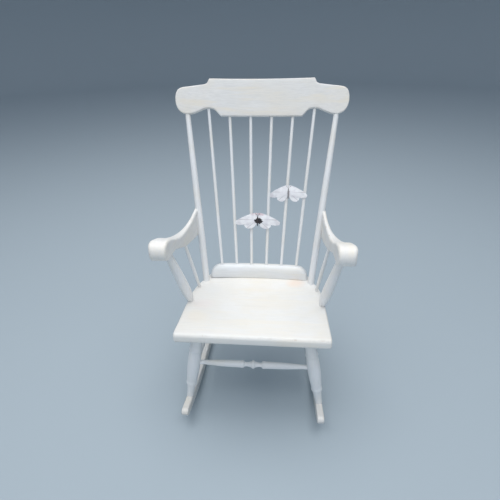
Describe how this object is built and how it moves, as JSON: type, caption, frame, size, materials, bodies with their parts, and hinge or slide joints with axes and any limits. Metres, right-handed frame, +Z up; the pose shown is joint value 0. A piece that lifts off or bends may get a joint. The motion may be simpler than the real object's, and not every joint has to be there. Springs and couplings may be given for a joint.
{
  "type": "rocking chair",
  "caption": "White painted wooden rocking chair with a spindle back, shaped crest rail, rolled plank seat, scrolled arms, turned legs and curved rockers.",
  "frame": {"origin": "on the floor, under the middle of the chair's overall box: midway between the tips of the rockers", "axes": "+X to the right of a person facing the chair, +Y to the back of the chair, +Z up"},
  "size_m": [0.6242, 0.7303, 1.0854],
  "materials": {
    "painted_seat": "white satin paint over wood, slightly worn along the edges",
    "painted_sawn": "white satin paint over sawn wood, brush marks along the length",
    "painted_turning": "white satin paint over turned wood",
    "painted_rocker": "white satin paint, worn along the lower edge",
    "bare_wood": "unpainted beech, hidden in the joints",
    "screw_steel": "plain steel wood screw",
    "ornament_wing": "thin matt white sheet with soft grey and rose markings",
    "ornament_body": "matt dark body",
    "ornament_clip": "plain white moulded clip"
  },
  "bodies": {
    "root": {"seat_board": "painted_seat", "seat_rear_roll": "painted_seat", "crest_rail": "painted_sawn", "back_post_left": "painted_turning", "back_post_right": "painted_turning", "back_spindle_1": "painted_turning", "back_spindle_2": "painted_turning", "back_spindle_3": "painted_turning", "back_spindle_4": "painted_turning", "back_spindle_5": "painted_turning", "back_spindle_6": "painted_turning", "arm_left": "painted_sawn", "arm_right": "painted_sawn", "arm_post_left": "painted_turning", "arm_post_right": "painted_turning", "arm_spindle_left": "painted_turning", "arm_spindle_right": "painted_turning", "leg_front_left": "painted_turning", "leg_front_right": "painted_turning", "leg_rear_left": "painted_turning", "leg_rear_right": "painted_turning", "front_stretcher": "painted_turning", "rear_stretcher": "painted_turning", "side_stretcher_left": "painted_turning", "side_stretcher_right": "painted_turning", "rocker_left": "painted_rocker", "rocker_right": "painted_rocker", "roll_dowels": "bare_wood", "crest_pins": "bare_wood", "rocker_pins": "painted_rocker", "arm_screws": "screw_steel", "arm_screw_plugs": "painted_sawn", "butterfly_upper_wings": "ornament_wing", "butterfly_upper_body": "ornament_body", "butterfly_upper_clip": "ornament_clip", "butterfly_lower_wings": "ornament_wing", "butterfly_lower_body": "ornament_body", "butterfly_lower_clips": "ornament_clip"}
  },
  "joints": []
}
